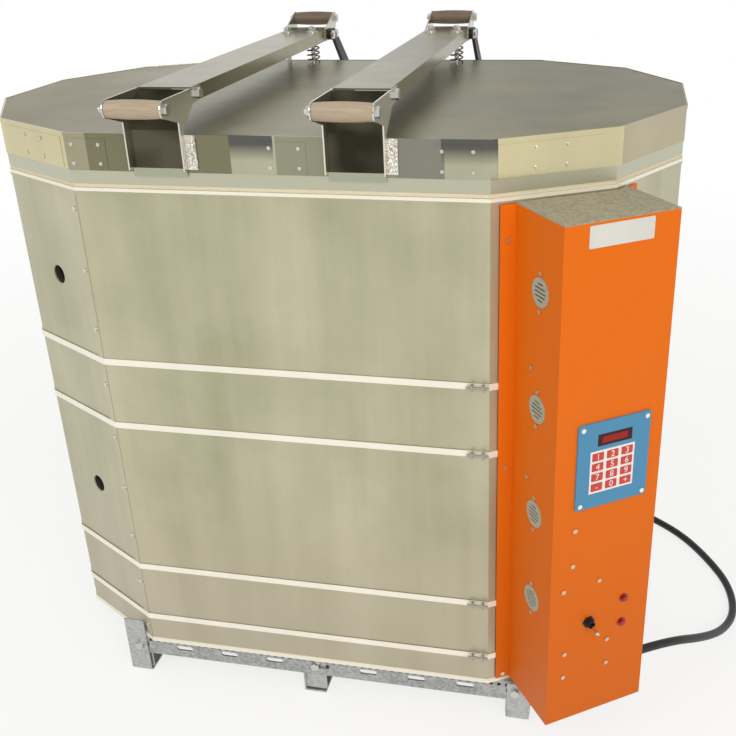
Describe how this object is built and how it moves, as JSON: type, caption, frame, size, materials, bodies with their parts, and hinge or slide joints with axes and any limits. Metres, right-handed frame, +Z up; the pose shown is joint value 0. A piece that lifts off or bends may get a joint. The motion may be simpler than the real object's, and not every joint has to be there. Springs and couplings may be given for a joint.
{
  "type": "oval ceramic kiln",
  "caption": "Top-loading oval electric kiln of firebrick in a sheet jacket, with a hinged lid on channel bars, wooden grips, slotted-angle stand, side control box and mains cord.",
  "frame": {"origin": "on the floor under the centre of the oval body, on the underside of the middle cross rail", "axes": "+X along the oval's long side towards the control box's side, +Y from the front to the hinges, +Z up"},
  "size_m": [1.249, 0.9803, 1.0336],
  "materials": {
    "stand_steel": "galvanised, spangled",
    "bolt_steel": "zinc plated",
    "board": "matte",
    "firebrick": "porous, matte",
    "element_wire": "oxidised",
    "jacket_steel": "brushed stainless",
    "probe": "matte",
    "lid_steel": "dull sheet",
    "band_steel": "polished",
    "bar_steel": "satin",
    "grip_wood": "turned, waxed",
    "spring_steel": "plated",
    "hinge_steel": "satin black",
    "box_orange": "powder coat",
    "box_grey": "satin grey",
    "plate_silver": "satin",
    "keypad_blue": "satin",
    "key_white": "satin",
    "display": "dark red window",
    "switch_black": "satin",
    "lever_chrome": "polished",
    "lamp_red": "clear red",
    "circuit": "laminate",
    "relay_black": "moulded",
    "core": "laminated",
    "cord_rubber": "satin black"
  },
  "bodies": {
    "kiln": {"stand_rails": "stand_steel", "cross_rails": "stand_steel", "stand_plates": "stand_steel", "stand_bolts": "bolt_steel", "hinge_pins": "bolt_steel", "jacket_screws": "bolt_steel", "box_screws": "bolt_steel", "base_board": "board", "floor_slab": "firebrick", "wall_course_lower": "firebrick", "wall_course_middle": "firebrick", "wall_course_upper": "firebrick", "peephole_brick_lower": "firebrick", "peephole_brick_upper": "firebrick", "heating_elements": "element_wire", "jacket": "jacket_steel", "clamp_bands": "jacket_steel", "thermocouple": "probe", "hinge_brackets": "hinge_steel", "box_shell": "box_orange", "box_top_plate": "box_grey", "vent_discs": "box_grey", "nameplate": "plate_silver", "keypad_panel": "keypad_blue", "display_window": "display", "toggle_switch": "switch_black", "indicator_lamps": "lamp_red", "controller_board": "circuit", "relays": "relay_black", "transformer": "core", "cord_gland": "cord_rubber", "cord": "cord_rubber", "cord_coil": "cord_rubber", "plug": "cord_rubber"},
    "lid": {"lid_slab": "firebrick", "lid_top_sheet": "lid_steel", "lid_band": "band_steel", "lid_screws": "bolt_steel", "left_bar": "bar_steel", "right_bar": "bar_steel", "front_brackets": "band_steel", "rear_brackets": "band_steel", "front_grips": "grip_wood", "rear_grips": "grip_wood", "lid_bolts": "bolt_steel", "lid_springs": "spring_steel", "hinge_arms": "hinge_steel"},
    "key_1_body": {"key_1": "key_white"},
    "key_2_body": {"key_2": "key_white"},
    "key_3_body": {"key_3": "key_white"},
    "key_4_body": {"key_4": "key_white"},
    "key_5_body": {"key_5": "key_white"},
    "key_6_body": {"key_6": "key_white"},
    "key_7_body": {"key_7": "key_white"},
    "key_8_body": {"key_8": "key_white"},
    "key_9_body": {"key_9": "key_white"},
    "key_10_body": {"key_10": "key_white"},
    "key_11_body": {"key_11": "key_white"},
    "key_12_body": {"key_12": "key_white"},
    "lever": {"toggle_lever": "lever_chrome"}
  },
  "joints": [
    {"name": "lid_hinge", "type": "hinge", "parent": "kiln", "child": "lid", "pos_m": [0, 0.464, 0.916], "axis": [-1, 0, 0], "range_deg": [0, 95]},
    {"name": "key_1_press", "type": "slide", "parent": "kiln", "child": "key_1_body", "axis": [-0.5736, 0.8192, 0], "range_m": [0, 0.0006], "stiffness_N_per_m": 300, "springref_m": -0.001},
    {"name": "key_2_press", "type": "slide", "parent": "kiln", "child": "key_2_body", "axis": [-0.5736, 0.8192, 0], "range_m": [0, 0.0006], "stiffness_N_per_m": 300, "springref_m": -0.001},
    {"name": "key_3_press", "type": "slide", "parent": "kiln", "child": "key_3_body", "axis": [-0.5736, 0.8192, 0], "range_m": [0, 0.0006], "stiffness_N_per_m": 300, "springref_m": -0.001},
    {"name": "key_4_press", "type": "slide", "parent": "kiln", "child": "key_4_body", "axis": [-0.5736, 0.8192, 0], "range_m": [0, 0.0006], "stiffness_N_per_m": 300, "springref_m": -0.001},
    {"name": "key_5_press", "type": "slide", "parent": "kiln", "child": "key_5_body", "axis": [-0.5736, 0.8192, 0], "range_m": [0, 0.0006], "stiffness_N_per_m": 300, "springref_m": -0.001},
    {"name": "key_6_press", "type": "slide", "parent": "kiln", "child": "key_6_body", "axis": [-0.5736, 0.8192, 0], "range_m": [0, 0.0006], "stiffness_N_per_m": 300, "springref_m": -0.001},
    {"name": "key_7_press", "type": "slide", "parent": "kiln", "child": "key_7_body", "axis": [-0.5736, 0.8192, 0], "range_m": [0, 0.0006], "stiffness_N_per_m": 300, "springref_m": -0.001},
    {"name": "key_8_press", "type": "slide", "parent": "kiln", "child": "key_8_body", "axis": [-0.5736, 0.8192, 0], "range_m": [0, 0.0006], "stiffness_N_per_m": 300, "springref_m": -0.001},
    {"name": "key_9_press", "type": "slide", "parent": "kiln", "child": "key_9_body", "axis": [-0.5736, 0.8192, 0], "range_m": [0, 0.0006], "stiffness_N_per_m": 300, "springref_m": -0.001},
    {"name": "key_10_press", "type": "slide", "parent": "kiln", "child": "key_10_body", "axis": [-0.5736, 0.8192, 0], "range_m": [0, 0.0006], "stiffness_N_per_m": 300, "springref_m": -0.001},
    {"name": "key_11_press", "type": "slide", "parent": "kiln", "child": "key_11_body", "axis": [-0.5736, 0.8192, 0], "range_m": [0, 0.0006], "stiffness_N_per_m": 300, "springref_m": -0.001},
    {"name": "key_12_press", "type": "slide", "parent": "kiln", "child": "key_12_body", "axis": [-0.5736, 0.8192, 0], "range_m": [0, 0.0006], "stiffness_N_per_m": 300, "springref_m": -0.001},
    {"name": "toggle_flip", "type": "hinge", "parent": "kiln", "child": "lever", "pos_m": [0.44494, -0.37976, 0.259], "axis": [-0.8192, -0.5736, 0], "range_deg": [0, 24]}
  ]
}
